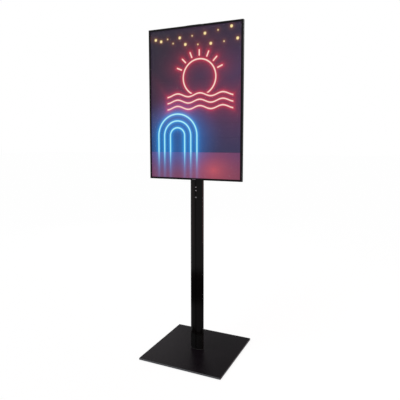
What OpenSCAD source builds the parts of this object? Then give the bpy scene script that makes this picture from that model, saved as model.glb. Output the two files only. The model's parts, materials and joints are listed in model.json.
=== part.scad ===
// Illuminated poster stand: a back-lit poster box on an oval post and a square steel base.
// Millimetres, +Z up, the poster faces -Y. The origin is on the floor under the middle of the base.

/* [Poster] */
// Width of the poster sheet
poster_w = 610; // [450:1:760]
// Height of the poster sheet
poster_h = 914; // [750:1:1100]
// Thickness of the poster sheet
poster_t = 0.4; // [0.2:0.1:0.5]
// How far the bezel laps over each edge of the poster
poster_lap = 4; // [3:0.1:4.5]

/* [Light box] */
// Width of the bezel as seen from the front
bezel = 12; // [11.8:0.1:16]
// Height of the box's lower edge above the floor
box_z0 = 1122.5; // [850:0.5:1300]
// Distance from the post's axis forward to the front of the bezel
box_front = 49; // [47:0.5:65]
// Outer wall of the frame rails
rail_wall = 2; // [1.5:0.1:2.2]
// Thickness of the rails' front lip
lip_t = 2.5; // [1.4:0.1:3]
// Thickness of the clear window
window_t = 2; // [1:0.1:3]
// Depth of the slot that the poster slides in
slot_w = 1; // [1:0.1:1.6]
// Thickness of the opal diffuser
diffuser_t = 3; // [1.5:0.1:4]
// Thickness of the light guide
guide_t = 8; // [3.8:0.1:10]
// Thickness of the reflector sheet
reflector_t = 1; // [0.3:0.1:1.5]
// Thickness of the rails' back flange
flange_t = 1.5; // [1.2:0.1:2.5]
// Reach of the back flange from the rail's outer face
flange_w = 14; // [13:0.5:18]
// Thickness of the back panel
back_t = 1.5; // [1:0.1:3]

/* [Lighting] */
// Thickness of an LED board
led_board_t = 1; // [0.8:0.1:1.2]
// Height of an LED chip above its board
led_chip_t = 0.9; // [0.6:0.1:1]
// Length of an LED chip
led_chip_l = 3.5; // [2.8:0.1:5]
// Width of an LED chip
led_chip_w = 2.8; // [2:0.1:3]
// Distance between LED chips
led_pitch = 18; // [12:1:30]
// Length of the control board
control_l = 100; // [70:1:110]
// Height of the control board
control_h = 7; // [6:0.1:7.5]
// Thickness of the control board
control_t = 1; // [0.8:0.1:1.6]

/* [Power button] */
// Width of the button cap
button_w = 24; // [14:0.5:40]
// Height of the button cap
button_h = 4.4; // [3.6:0.1:4.6]
// How far the cap stands proud of the bezel
button_proud = 0.6; // [0.4:0.1:1]
// Travel of the button
button_travel = 0.8; // [0.4:0.1:0.9]
// Width of the switch body
switch_w = 5.2; // [4.8:0.1:6]
// Diameter of the switch plunger
plunger_d = 3.2; // [2.4:0.1:3.6]

/* [Power inlet] */
// Place of the inlet to the right of the middle
inlet_x = 70; // [64:1:200]
// Height of the inlet above the box's lower edge
inlet_up = 7; // [6.6:0.1:7.4]
// Diameter of the inlet's threaded barrel
inlet_d = 7.8; // [6.5:0.1:8.2]
// Bore of the inlet
inlet_bore = 5.7; // [4:0.1:5.8]
// Diameter of the inlet's centre pin
inlet_pin = 2; // [1.3:0.1:2.5]
// Length of the barrel behind the back panel
inlet_l = 9; // [8:0.5:14]
// Size of the inlet nut across its flats
inlet_nut_af = 11; // [10:0.5:14]

/* [Post] */
// Width of the oval post
post_w = 90; // [74:1:110]
// Depth of the oval post
post_d = 42; // [40:1:54]
// Wall of the post
post_wall = 2.5; // [2:0.1:3.5]
// Width of the post's inner ribs
rib_w = 18; // [14:1:22]
// Height of the post's inner ribs
rib_h = 4; // [3:0.1:5]
// Width of the groove down the middle of the post
groove_w = 5; // [3:0.5:7]
// Depth of that groove
groove_deep = 1.8; // [1:0.1:2.5]
// Length of post that is hidden behind the light box
post_hidden = 40; // [20:1:55]
// Thickness of the collar on top of the post
collar_t = 3; // [2:0.5:5]
// Depth of the collar's skirt inside the post
collar_skirt = 14; // [8:1:30]

/* [Neck] */
// Width of the neck tube
neck_w = 40; // [30:1:44]
// Wall of the neck tube
neck_wall = 2.5; // [2:0.1:4]
// Length of neck inside the post at the lowest setting
neck_in = 200; // [150:5:300]
// Height of the neck's top above the middle of the upper bracket
neck_up = 100; // [60:5:160]
// Thickness of the neck's cap
neck_cap_t = 3; // [2:0.5:6]

/* [Brackets] */
// Width of a bracket's flange
bracket_w = 120; // [104:1:160]
// Height of a bracket
bracket_h = 70; // [60:1:90]
// Plate thickness of a bracket
bracket_t = 3; // [2:0.5:5]
// Middle of the upper bracket above the box's lower edge
upper_bracket_up = 540; // [400:1:550]
// Diameter of the bolts through the neck
bracket_bolt_d = 6; // [5:0.5:8]
// Diameter of the screws into the light box
bracket_screw_d = 5; // [4:0.5:6]
// Thickness left round a bracket's bolts
bracket_edge = 11; // [9:0.5:14]

/* [Clamp screws] */
// Diameter of the clamp screws
clamp_d = 6; // [5:0.5:7]
// Diameter of their heads
clamp_head_d = 10.5; // [9:0.5:12]
// Height of their heads
clamp_head_h = 3.3; // [2.5:0.1:4]
// Distance from the box's lower edge down to the first clamp screw
clamp_drop = 48; // [30:0.5:60]
// Step between the clamp screws
clamp_pitch = 21.5; // [18:0.5:26]

/* [Base] */
// Side of the square base plate
base_side = 550; // [400:1:650]
// Thickness of the base plate
base_t = 10; // [8:0.5:16]
// Radius of the base plate's corners
base_corner_r = 4; // [2:0.5:12]
// Diameter of a rubber pad
pad_d = 36; // [20:1:60]
// Thickness of a rubber pad
pad_t = 2.5; // [2:0.1:5]
// Depth of the recess that holds a pad
pad_recess = 1; // [0.6:0.1:1.5]
// Distance from a plate edge in to the middle of a pad
pad_inset = 40; // [32:1:80]
// Thickness of the gasket under the post
gasket_t = 1.5; // [1:0.1:3]
// How far the gasket stands out round the post
gasket_lip = 1.5; // [0.5:0.1:4]
// Height of the plug inside the foot of the post
plug_h = 60; // [50:1:90]
// Diameter of the two bolts up through the base
foot_bolt_d = 10; // [8:1:12]
// Head diameter of those bolts
foot_head_d = 20; // [16:1:22]
// Height of those bolts' heads
foot_head_h = 5; // [4:0.5:6]
// Distance between those bolts
foot_bolt_gap = 44; // [36:1:46]
// Depth of the bolts' thread in the plug
foot_bolt_in = 30; // [20:1:40]

/* [Small fasteners] */
// Diameter of the back panel's screws
panel_screw_d = 3; // [2:0.5:3.5]
// Head diameter of the back panel's screws
panel_head_d = 6; // [4.5:0.1:7]
// Largest distance between the back panel's screws
panel_screw_step = 260; // [150:5:320]

/* [Hidden] */
$fn = 48;

// Clearances
slide_gap = 0.3;
seat_gap = 0.3;
fit_gap = 0.15;
thread_gap = 0.1;
cut = 1;

// Heights
plate_z0 = pad_t - pad_recess;
plate_top = plate_z0 + base_t;
post_z0 = plate_top + gasket_t;
post_z1 = box_z0 + post_hidden;
neck_z0 = post_z1 - neck_in;
neck_z1 = box_z0 + upper_bracket_up + neck_up;

// Light box, with depths counted back from the front of the bezel and insets counted in from its outer faces
poster_inset = bezel - poster_lap;
bar_w = poster_inset - seat_gap;
box_w = poster_w + 2 * poster_inset;
box_h = poster_h + 2 * poster_inset;
box_z1 = box_z0 + box_h;
window_at = lip_t;
slot_at = window_at + window_t;
poster_at = slot_at + (slot_w - poster_t) / 2;
diffuser_at = slot_at + slot_w;
guide_at = diffuser_at + diffuser_t;
reflector_at = guide_at + guide_t;
flange_at = reflector_at + reflector_t;
back_at = flange_at + flange_t;
box_t = back_at + back_t;
back_y = box_t - box_front;

// Room behind the bezel for the lights and the control board
light_room = led_board_t + led_chip_t + seat_gap;
guide_inset = rail_wall + light_room;
guide_lift = bezel - seat_gap;
key_l = 30;
key_t = light_room - seat_gap;
key_w = guide_t / 2;
key_at = guide_at + fit_gap;
led_board_w = guide_t - 2 * fit_gap;
led_from = rail_wall + key_l + cut;
led_l = box_h - 2 * led_from;
led_count = floor((led_l - led_chip_l) / led_pitch) + 1;
lead_t = 0.7;
lead_w = 1.4;
lead_at = flange_at - control_t - lead_w + lead_t / 2;
block_l = 40;
block_x = poster_w / 3;
control_at = flange_at - control_t;

// Grip strip on the poster's upper edge
strip_t = slot_w;
strip_at = slot_at + slide_gap;
strip_slot = strip_t + 2 * slide_gap;
tab_w = 90;
tab_up = 2.5;

// Button and switch
button_up = rail_wall + switch_w / 2;
button_stop_t = 1.2;
button_stop_w = 2;
button_clear = 0.2;
button_rear = guide_at - fit_gap - cut;
plunger_in = 0.8;
plunger_room = plunger_in + button_travel + slide_gap;

// Power inlet
inlet_body = 7.6;
inlet_body_t = flange_at - guide_at - seat_gap;
inlet_pin_short = 1;
inlet_nut_t = 2.5;

// Post and neck
oval_steps = 96;
rib_face = post_d / 2 - post_wall - rib_h;
neck_d = 2 * (rib_face - slide_gap);
seat_cut = 0.5;
spot_clear = 1;
seat_y = post_d / 2 - seat_cut;
clamp_rows = [0, 1, 3];
plug_rows = [1, 2];
plug_pitch = plug_h / 3;

// Brackets: at the lowest setting the lower one rests on the collar
lower_bracket_up = post_hidden + collar_t + seat_gap + bracket_h / 2;
bracket_y = back_y + bracket_t;
cheek_y1 = bracket_edge;
bolt_dz = bracket_h / 2 - bracket_edge;
screw_dx = bracket_w / 2 - bracket_edge;
bolt_head_t = 4;
bolt_nut_t = 5;
bolt_af = bracket_bolt_d * 1.65;
screw_head_d = bracket_screw_d * 1.9;
screw_head_h = bracket_screw_d * 0.55;
screw_clear = 0.2;

// Back panel screws along the rails
panel_head_h = panel_head_d / 4;
panel_screw_in = (rail_wall + flange_w) / 2;
panel_screw_corner = 60;
panel_runs_x = ceil((box_w - 2 * panel_screw_corner) / panel_screw_step);
panel_runs_z = ceil((box_h - 2 * panel_screw_corner) / panel_screw_step);

black = [0.05, 0.05, 0.055];
steel = [0.72, 0.73, 0.75];

// Shared shapes

function depth_y(depth) = depth - box_front;

module oval(half_w, half_d) {
    polygon([for (i = [0 : oval_steps - 1])
        let (turn = 360 * i / oval_steps) [half_w * cos(turn), half_d * sin(turn)]]);
}

module post_outline() {
    difference() {
        oval(post_w / 2, post_d / 2);
        for (side = [-1, 1])
            polygon([[-groove_w / 2, side * post_d / 2], [0, side * (post_d / 2 - groove_deep)],
                [groove_w / 2, side * post_d / 2], [0, side * (post_d / 2 + cut)]]);
    }
}

module post_cavity(gap = 0) {
    difference() {
        oval(post_w / 2 - post_wall - gap, post_d / 2 - post_wall - gap);
        for (side = [0, 180])
            rotate(side)
                translate([-rib_w / 2 - gap, rib_face - gap])
                    square([rib_w + 2 * gap, post_d]);
    }
}

// Domed socket screw: the head's seat is at z = 0, the shank points down
module dome_screw(d, length, head_d, head_h) {
    dome_r = (head_d * head_d / 4 + head_h * head_h) / (2 * head_h);
    difference() {
        union() {
            intersection() {
                translate([0, 0, head_h - dome_r])
                    sphere(dome_r);
                translate([-head_d, -head_d, 0])
                    cube([2 * head_d, 2 * head_d, head_h + cut]);
            }
            translate([0, 0, -length])
                cylinder(d = d, h = length + cut / 2);
        }
        translate([0, 0, head_h * 0.4])
            cylinder(d = head_d * 0.42, h = head_h, $fn = 6);
    }
}

// A flat sheet of the light box
module sheet(depth, thick, side_inset, low_inset, high_inset) {
    translate([side_inset - box_w / 2, depth_y(depth), box_z0 + low_inset])
        cube([box_w - 2 * side_inset, thick, box_h - low_inset - high_inset]);
}

// Something small in the light box, set by its own middle, its depth and its inset above the lower edge
module in_box(x, depth, up) {
    translate([x, depth_y(depth), box_z0 + up])
        children();
}

// Places

module at_foot_bolts() {
    for (x = [-foot_bolt_gap / 2, foot_bolt_gap / 2])
        translate([x, 0, plate_z0])
            children();
}

module at_pads() {
    pad_x = base_side / 2 - pad_inset;
    for (x = [-pad_x, pad_x], y = [-pad_x, pad_x])
        translate([x, y, 0])
            children();
}

module at_clamp_screws() {
    for (row = clamp_rows)
        translate([0, -seat_y, box_z0 - clamp_drop - row * clamp_pitch])
            rotate([90, 0, 0])
                children();
}

module at_plug_screws() {
    for (row = plug_rows)
        translate([0, seat_y, post_z0 + row * plug_pitch])
            rotate([-90, 0, 0])
                children();
}

module at_brackets() {
    for (up = [lower_bracket_up, upper_bracket_up])
        translate([0, 0, box_z0 + up])
            children();
}

module at_bracket_bolts() {
    at_brackets()
        for (z = [-bolt_dz, bolt_dz])
            translate([0, 0, z])
                rotate([0, 90, 0])
                    children();
}

module at_bracket_screws() {
    at_brackets()
        for (x = [-screw_dx, screw_dx], z = [-bolt_dz, bolt_dz])
            translate([x, bracket_y, z])
                rotate([-90, 0, 0])
                    children();
}

module at_panel_screws() {
    step_x = (box_w - 2 * panel_screw_corner) / panel_runs_x;
    step_z = (box_h - 2 * panel_screw_corner) / panel_runs_z;
    for (i = [0 : panel_runs_x], up = [panel_screw_in, box_h - panel_screw_in])
        translate([panel_screw_corner - box_w / 2 + i * step_x, back_y, box_z0 + up])
            rotate([-90, 0, 0])
                children();
    for (i = [0 : panel_runs_z], side = [-1, 1])
        translate([side * (box_w / 2 - panel_screw_in), back_y, box_z0 + panel_screw_corner + i * step_z])
            rotate([-90, 0, 0])
                children();
}

// Base

module base_plate() {
    inner = base_side - 2 * base_corner_r;
    color(black)
        difference() {
            translate([0, 0, plate_z0])
                linear_extrude(base_t)
                    union() {
                        square([base_side, inner], center = true);
                        square([inner, base_side], center = true);
                        for (x = [-inner / 2, inner / 2], y = [-inner / 2, inner / 2])
                            translate([x, y])
                                circle(base_corner_r);
                    }
            at_pads()
                cylinder(d = pad_d + 2 * fit_gap, h = pad_t);
            at_foot_bolts() {
                translate([0, 0, -cut])
                    cylinder(d = foot_bolt_d + 2 * fit_gap, h = base_t + 2 * cut);
                foot_head(fit_gap);
            }
        }
}

module base_pads() {
    color([0.1, 0.1, 0.1])
        at_pads()
            cylinder(d = pad_d, h = pad_t);
}

module foot_gasket() {
    color([0.16, 0.16, 0.17])
        difference() {
            translate([0, 0, plate_top])
                linear_extrude(gasket_t)
                    oval(post_w / 2 + gasket_lip, post_d / 2 + gasket_lip);
            at_foot_bolts()
                cylinder(d = foot_bolt_d + 2 * fit_gap, h = base_t + gasket_t + cut);
        }
}

// Countersunk head: widest at the plate's underside
module foot_head(gap) {
    cylinder(d1 = foot_head_d + 2 * gap, d2 = foot_bolt_d + 2 * gap, h = foot_head_h);
}

module foot_bolts() {
    color(steel)
        at_foot_bolts()
            difference() {
                union() {
                    foot_head(0);
                    cylinder(d = foot_bolt_d, h = base_t + gasket_t + foot_bolt_in);
                }
                translate([0, 0, -cut])
                    cylinder(d = foot_bolt_d * 0.6, h = foot_head_h, $fn = 6);
            }
}

module foot_plug() {
    color([0.5, 0.51, 0.53])
        difference() {
            translate([0, 0, post_z0])
                linear_extrude(plug_h)
                    post_cavity(fit_gap);
            at_foot_bolts()
                cylinder(d = foot_bolt_d + 2 * thread_gap, h = base_t + gasket_t + foot_bolt_in + cut);
            at_plug_screws()
                translate([0, 0, -seat_y])
                    cylinder(d = clamp_d + 2 * thread_gap, h = seat_y);
        }
}

module plug_screws() {
    color(steel)
        at_plug_screws()
            dome_screw(clamp_d, seat_y - cut, clamp_head_d, clamp_head_h);
}

// Post

// Flat seat for a screw head and the bore for its shank
module screw_bore() {
    cylinder(d = clamp_head_d + spot_clear, h = post_d);
    translate([0, 0, rib_face - seat_y - cut])
        cylinder(d = clamp_d + 2 * thread_gap, h = post_d);
}

module post() {
    color(black)
        difference() {
            translate([0, 0, post_z0])
                linear_extrude(post_z1 - post_z0)
                    difference() {
                        post_outline();
                        post_cavity();
                    }
            at_clamp_screws()
                screw_bore();
            at_plug_screws()
                screw_bore();
        }
}

module post_collar() {
    color([0.09, 0.09, 0.1])
        difference() {
            union() {
                translate([0, 0, post_z1])
                    linear_extrude(collar_t)
                        oval(post_w / 2, post_d / 2);
                translate([0, 0, post_z1 - collar_skirt])
                    linear_extrude(collar_skirt)
                        post_cavity(fit_gap);
            }
            translate([-neck_w / 2 - slide_gap, -rib_face, post_z1 - collar_skirt - cut])
                cube([neck_w + 2 * slide_gap, 2 * rib_face, collar_skirt + collar_t + 2 * cut]);
        }
}

module clamp_screws() {
    color(steel)
        at_clamp_screws()
            dome_screw(clamp_d, seat_y - rib_face, clamp_head_d, clamp_head_h);
}

// Neck and brackets

module neck_tube() {
    color([0.07, 0.07, 0.075])
        difference() {
            translate([-neck_w / 2, -neck_d / 2, neck_z0])
                cube([neck_w, neck_d, neck_z1 - neck_z0]);
            translate([neck_wall - neck_w / 2, neck_wall - neck_d / 2, neck_z0 - cut])
                cube([neck_w - 2 * neck_wall, neck_d - 2 * neck_wall, neck_z1 - neck_z0 + 2 * cut]);
            at_bracket_bolts()
                cylinder(d = bracket_bolt_d + 2 * fit_gap, h = 2 * neck_w, center = true);
        }
}

module neck_cap() {
    skirt_w = neck_w - 2 * (neck_wall + fit_gap);
    skirt_d = neck_d - 2 * (neck_wall + fit_gap);
    color([0.09, 0.09, 0.1]) {
        translate([-neck_w / 2, -neck_d / 2, neck_z1])
            cube([neck_w, neck_d, neck_cap_t]);
        translate([-skirt_w / 2, -skirt_d / 2, neck_z1 - collar_skirt])
            cube([skirt_w, skirt_d, collar_skirt + neck_cap_t / 2]);
    }
}

// Flange against the light box, and two cheeks that hold the neck between them
module bracket(up) {
    difference() {
        union() {
            translate([-bracket_w / 2, back_y, box_z0 + up - bracket_h / 2])
                cube([bracket_w, bracket_t, bracket_h]);
            for (x = [-neck_w / 2 - bracket_t, neck_w / 2])
                translate([x, back_y, box_z0 + up - bracket_h / 2])
                    cube([bracket_t, cheek_y1 - back_y, bracket_h]);
        }
        at_bracket_bolts()
            cylinder(d = bracket_bolt_d + 2 * fit_gap, h = bracket_w, center = true);
        at_bracket_screws()
            cylinder(d = bracket_screw_d + 2 * fit_gap, h = 4 * bracket_t, center = true);
    }
}

module lower_bracket() {
    color(black)
        bracket(lower_bracket_up);
}

module upper_bracket() {
    color(black)
        bracket(upper_bracket_up);
}

module bracket_bolts() {
    grip = neck_w / 2 + bracket_t;
    color(steel)
        at_bracket_bolts() {
            translate([0, 0, -grip - bolt_nut_t - cut])
                cylinder(d = bracket_bolt_d, h = 2 * grip + bolt_nut_t + cut);
            translate([0, 0, grip])
                cylinder(d = bolt_af / cos(30), h = bolt_head_t, $fn = 6);
        }
}

module bracket_nuts() {
    grip = neck_w / 2 + bracket_t;
    color(steel)
        at_bracket_bolts()
            translate([0, 0, -grip - bolt_nut_t])
                difference() {
                    cylinder(d = bolt_af / cos(30), h = bolt_nut_t, $fn = 6);
                    translate([0, 0, -cut])
                        cylinder(d = bracket_bolt_d + 2 * thread_gap, h = bolt_nut_t + 2 * cut);
                }
}

module bracket_screws() {
    color(steel)
        at_bracket_screws()
            dome_screw(bracket_screw_d, bracket_t + back_t + flange_t - screw_clear,
                screw_head_d, screw_head_h);
}

module backing_plates() {
    color([0.6, 0.61, 0.63])
        difference() {
            at_brackets()
                translate([-bracket_w / 2, depth_y(flange_at), -bracket_h / 2])
                    cube([bracket_w, flange_t, bracket_h]);
            at_bracket_screws()
                cylinder(d = bracket_screw_d + 2 * thread_gap, h = 4 * box_t, center = true);
        }
}

// Light box frame

// One mitred rail along X: its outer face is at z = 0, its front at y = 0, and it reaches in along +Z
module rail(length) {
    intersection() {
        rotate([0, -90, 0])
            linear_extrude(length, center = true)
                polygon([[0, 0], [bezel, 0], [bezel, lip_t], [bar_w, lip_t], [bar_w, guide_at],
                    [rail_wall, guide_at], [rail_wall, flange_at], [flange_w, flange_at],
                    [flange_w, back_at], [rail_wall, back_at], [rail_wall, box_t], [0, box_t]]);
        translate([0, box_t + cut, 0])
            rotate([90, 0, 0])
                linear_extrude(box_t + 2 * cut)
                    polygon([[-length / 2, 0], [length / 2, 0],
                        [length / 2 - flange_w, flange_w], [flange_w - length / 2, flange_w]]);
    }
}

module panel_screw_bores() {
    at_panel_screws()
        cylinder(d = panel_screw_d + 2 * thread_gap, h = 2 * (back_t + flange_t), center = true);
}

// Hole for the inlet's barrel, through the back flange and the back panel
module inlet_hole() {
    in_box(inlet_x, flange_at - cut, inlet_up)
        rotate([-90, 0, 0])
            cylinder(d = inlet_d + 2 * fit_gap, h = flange_t + back_t + 2 * cut);
}

module rail_left() {
    color(black)
        difference() {
            translate([-box_w / 2, -box_front, box_z0 + box_h / 2])
                rotate([0, 90, 0])
                    rail(box_h);
            panel_screw_bores();
        }
}

module rail_right() {
    color(black)
        difference() {
            translate([box_w / 2, -box_front, box_z0 + box_h / 2])
                rotate([0, -90, 0])
                    rail(box_h);
            panel_screw_bores();
        }
}

module rail_top() {
    color(black)
        difference() {
            translate([0, -box_front, box_z1])
                rotate([0, 180, 0])
                    rail(box_w);
            panel_screw_bores();
            translate([-poster_w / 2 - seat_gap, depth_y(slot_at), box_z1 - poster_inset])
                cube([poster_w + 2 * seat_gap, strip_slot, poster_inset + cut]);
        }
}

module rail_bottom() {
    color(black)
        difference() {
            translate([0, -box_front, box_z0])
                rail(box_w);
            panel_screw_bores();
            in_box(0, 0, button_up)
                button_block(-cut, lip_t + cut, button_w + 2 * button_clear, button_clear);
            in_box(0, 0, button_up)
                button_block(lip_t, guide_at, button_w + 2 * (button_stop_w + button_clear), button_clear);
            inlet_hole();
        }
}

module corner_keys() {
    color([0.62, 0.63, 0.65])
        for (turn_x = [0, 1], turn_z = [0, 1])
            translate([0, depth_y(key_at), box_z0 + box_h / 2])
                mirror([turn_x, 0, 0])
                    mirror([0, 0, turn_z])
                        translate([rail_wall - box_w / 2, 0, rail_wall - box_h / 2]) {
                            cube([key_l, key_w, key_t]);
                            cube([key_t, key_w, key_l]);
                        }
}

module back_panel() {
    inset = rail_wall + seat_gap;
    color([0.07, 0.07, 0.075])
        difference() {
            sheet(back_at, back_t, inset, inset, inset);
            panel_screw_bores();
            at_bracket_screws()
                cylinder(d = bracket_screw_d + 2 * fit_gap, h = 4 * box_t, center = true);
            inlet_hole();
        }
}

module panel_screws() {
    color(steel)
        at_panel_screws()
            dome_screw(panel_screw_d, back_t + flange_t - screw_clear, panel_head_d, panel_head_h);
}

// Sheets and lights

module window() {
    color([0.85, 0.9, 0.92, 0.3])
        sheet(window_at, window_t, poster_inset, poster_inset, poster_inset);
}

module diffuser() {
    color([0.95, 0.95, 0.93])
        sheet(diffuser_at, diffuser_t, poster_inset, poster_inset, poster_inset + seat_gap);
}

module light_guide() {
    color([0.9, 0.95, 0.95, 0.5])
        sheet(guide_at, guide_t, guide_inset, guide_lift, guide_inset);
}

module reflector() {
    color([0.97, 0.97, 0.97])
        sheet(reflector_at, reflector_t, guide_inset, guide_lift, guide_inset);
}

// Rubber setting blocks: two carry the light guide, two hold it from above
module guide_blocks() {
    color([0.2, 0.2, 0.21])
        for (x = [-block_x, block_x]) {
            in_box(x - block_l / 2, key_at, rail_wall)
                cube([block_l, key_w, guide_lift - rail_wall]);
            in_box(x - block_l / 2, key_at, box_h - guide_inset)
                cube([block_l, key_w, light_room]);
        }
}

module led_boards() {
    color([0.9, 0.9, 0.88])
        for (side = [0, 1])
            mirror([side, 0, 0])
                in_box(rail_wall - box_w / 2, guide_at + fit_gap, led_from)
                    cube([led_board_t, led_board_w, led_l]);
}

module led_chips() {
    first = led_from + (led_l - (led_count - 1) * led_pitch - led_chip_l) / 2;
    color([1, 0.95, 0.7])
        for (side = [0, 1], i = [0 : led_count - 1])
            mirror([side, 0, 0])
                in_box(rail_wall + led_board_t - box_w / 2, guide_at + (guide_t - led_chip_w) / 2,
                    first + i * led_pitch)
                    cube([led_chip_t, led_chip_w, led_chip_l]);
}

// Flat leads along the bottom rail and up the corners to the boards, and a strap to the inlet
module led_leads() {
    run = box_w / 2 - rail_wall - control_l / 2;
    color([0.75, 0.12, 0.1]) {
        for (side = [0, 1])
            mirror([side, 0, 0])
                in_box(rail_wall - box_w / 2, lead_at, rail_wall) {
                    cube([run, lead_w, lead_t]);
                    cube([lead_t, lead_w, led_from - rail_wall]);
                }
        in_box(control_l / 2, control_at, inlet_up - lead_w / 2)
            cube([inlet_x - inlet_body / 2 - control_l / 2, lead_t, lead_w]);
    }
}

module control_board() {
    color([0.1, 0.35, 0.2])
        in_box(-control_l / 2, control_at, rail_wall)
            cube([control_l, control_t, control_h]);
}

// Power inlet

module power_inlet() {
    barrel_l = flange_t + back_t + inlet_l;
    color([0.12, 0.12, 0.13])
        in_box(inlet_x, flange_at, inlet_up) {
            translate([-inlet_body / 2, -inlet_body_t, -inlet_body / 2])
                cube([inlet_body, inlet_body_t, inlet_body]);
            rotate([-90, 0, 0])
                difference() {
                    cylinder(d = inlet_d, h = barrel_l);
                    translate([0, 0, flange_t])
                        cylinder(d = inlet_bore, h = barrel_l);
                }
            rotate([-90, 0, 0])
                cylinder(d = inlet_pin, h = barrel_l - inlet_pin_short);
        }
}

module inlet_nut() {
    color(steel)
        in_box(inlet_x, box_t, inlet_up)
            rotate([-90, 0, 0])
                difference() {
                    cylinder(d = inlet_nut_af / cos(30), h = inlet_nut_t, $fn = 6);
                    translate([0, 0, -cut])
                        cylinder(d = inlet_d + 2 * thread_gap, h = inlet_nut_t + 2 * cut);
                }
}

// Poster

module poster_sheet() {
    color([0.35, 0.2, 0.4])
        sheet(poster_at, poster_t, poster_inset, poster_inset, poster_inset);
}

module poster_strip() {
    color([0.12, 0.12, 0.13]) {
        in_box(-poster_w / 2, strip_at, box_h - poster_inset)
            cube([poster_w, strip_t, poster_inset - seat_gap]);
        in_box(-tab_w / 2, strip_at, box_h - poster_inset)
            cube([tab_w, strip_t, poster_inset + tab_up]);
    }
}

// Power button

// Block with round ends, from one depth to another, centred on the button
module button_block(from, to, width, gap) {
    end_d = button_h + 2 * gap;
    translate([0, to, 0])
        rotate([90, 0, 0])
            linear_extrude(to - from)
                union() {
                    square([width - end_d, end_d], center = true);
                    for (x = [-1, 1])
                        translate([x * (width - end_d) / 2, 0])
                            circle(d = end_d);
                }
}

module button_cap() {
    color([0.42, 0.36, 0.41])
        in_box(0, 0, button_up) {
            button_block(-button_proud, lip_t + slide_gap, button_w, 0);
            button_block(lip_t + slide_gap, lip_t + slide_gap + button_stop_t, button_w + 2 * button_stop_w, 0);
            translate([0, lip_t + slide_gap, 0])
                rotate([-90, 0, 0])
                    cylinder(d = plunger_d, h = button_rear - lip_t - slide_gap);
        }
}

module switch_plunger() {
    color([0.85, 0.85, 0.8])
        in_box(0, button_rear, button_up)
            rotate([-90, 0, 0])
                cylinder(d = plunger_d, h = guide_at + plunger_in - button_rear);
}

module push_switch() {
    color([0.15, 0.15, 0.16])
        difference() {
            in_box(-switch_w / 2, guide_at, button_up - switch_w / 2)
                cube([switch_w, control_at - guide_at, switch_w]);
            in_box(0, guide_at, button_up)
                rotate([-90, 0, 0])
                    translate([0, 0, -cut])
                        cylinder(d = plunger_d + 2 * thread_gap, h = plunger_room + cut);
        }
}

base_plate();
base_pads();
foot_gasket();
foot_plug();
foot_bolts();
plug_screws();
post();
post_collar();
clamp_screws();
neck_tube();
neck_cap();
lower_bracket();
upper_bracket();
bracket_bolts();
bracket_nuts();
bracket_screws();
backing_plates();
rail_left();
rail_right();
rail_top();
rail_bottom();
corner_keys();
back_panel();
panel_screws();
window();
diffuser();
light_guide();
guide_blocks();
reflector();
led_boards();
led_chips();
led_leads();
control_board();
push_switch();
power_inlet();
inlet_nut();
poster_sheet();
poster_strip();
button_cap();
switch_plunger();
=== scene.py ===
"""Looks of a back-lit poster stand: a slim light box on an oval post and a square steel base.

Metres, +Z up, the poster faces -Y. The solids come from the frame; this script gives them their edges,
their fasteners and their finishes, and sets up the camera and a plain white studio.
"""
import json
import math

import bmesh
import bpy
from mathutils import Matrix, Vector

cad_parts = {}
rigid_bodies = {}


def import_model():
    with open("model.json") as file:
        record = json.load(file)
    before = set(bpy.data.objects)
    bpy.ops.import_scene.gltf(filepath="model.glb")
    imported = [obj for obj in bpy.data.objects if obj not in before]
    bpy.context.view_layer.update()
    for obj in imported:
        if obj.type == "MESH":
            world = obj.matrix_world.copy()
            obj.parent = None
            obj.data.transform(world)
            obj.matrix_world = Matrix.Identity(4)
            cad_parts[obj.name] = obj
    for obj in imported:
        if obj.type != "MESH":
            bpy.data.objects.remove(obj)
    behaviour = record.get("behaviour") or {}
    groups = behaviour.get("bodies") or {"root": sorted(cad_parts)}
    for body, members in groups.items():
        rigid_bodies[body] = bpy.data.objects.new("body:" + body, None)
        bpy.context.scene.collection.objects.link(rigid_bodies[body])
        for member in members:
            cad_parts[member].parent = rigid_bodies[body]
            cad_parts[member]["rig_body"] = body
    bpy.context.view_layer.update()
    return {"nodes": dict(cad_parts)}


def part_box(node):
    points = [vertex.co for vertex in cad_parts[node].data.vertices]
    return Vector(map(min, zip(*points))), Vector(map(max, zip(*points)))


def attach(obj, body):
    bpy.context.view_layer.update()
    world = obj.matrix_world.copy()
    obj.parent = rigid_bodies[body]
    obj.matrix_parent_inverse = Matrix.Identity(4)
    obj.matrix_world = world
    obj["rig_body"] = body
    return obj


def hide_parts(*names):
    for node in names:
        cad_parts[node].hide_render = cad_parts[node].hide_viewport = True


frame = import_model()

MM = 0.001

# Fasteners: diameters and heights in millimetres, seats and rows come from the frame
CLAMP_SHANK = 6.0
CLAMP_HEAD = 10.5
CLAMP_HEAD_HIGH = 3.3
CLAMP_PITCH = 21.5
CLAMP_REACH = 6.0
CLAMP_LAST_STEP = 3
SEAT_ROOM = 1.0
SEAT_DRILL = 8.0
BORE_ROOM = 0.1
PLUG_PITCH = 20.0
PLUG_REACH = 19.5
BRACKET_SHANK = 5.0
BRACKET_HEAD = 9.5
BRACKET_HEAD_HIGH = 2.75
BRACKET_REACH = 5.8
BRACKET_EDGE = 11.0
BRACKET_PLATE = 3.0
PANEL_SHANK = 3.0
PANEL_HEAD = 6.0
PANEL_HEAD_HIGH = 1.5
PANEL_REACH = 2.8
PANEL_INSET = 8.0
PANEL_CORNER = 60.0
PANEL_LEVEL_SCREWS = 3
PANEL_UPRIGHT_SCREWS = 5
BOLT_SHANK = 6.0
BOLT_FLATS = 9.9
BOLT_HEAD_HIGH = 4.0
NUT_HIGH = 5.0
NUT_CHAMFER = 0.6
THREAD_CHAMFER = 0.5
BOLT_END = 1.0
BOLT_END_CHAMFER = 0.6
BOLT_END_SHARE = 0.8
HEAD_WASHER = 0.4
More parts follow.
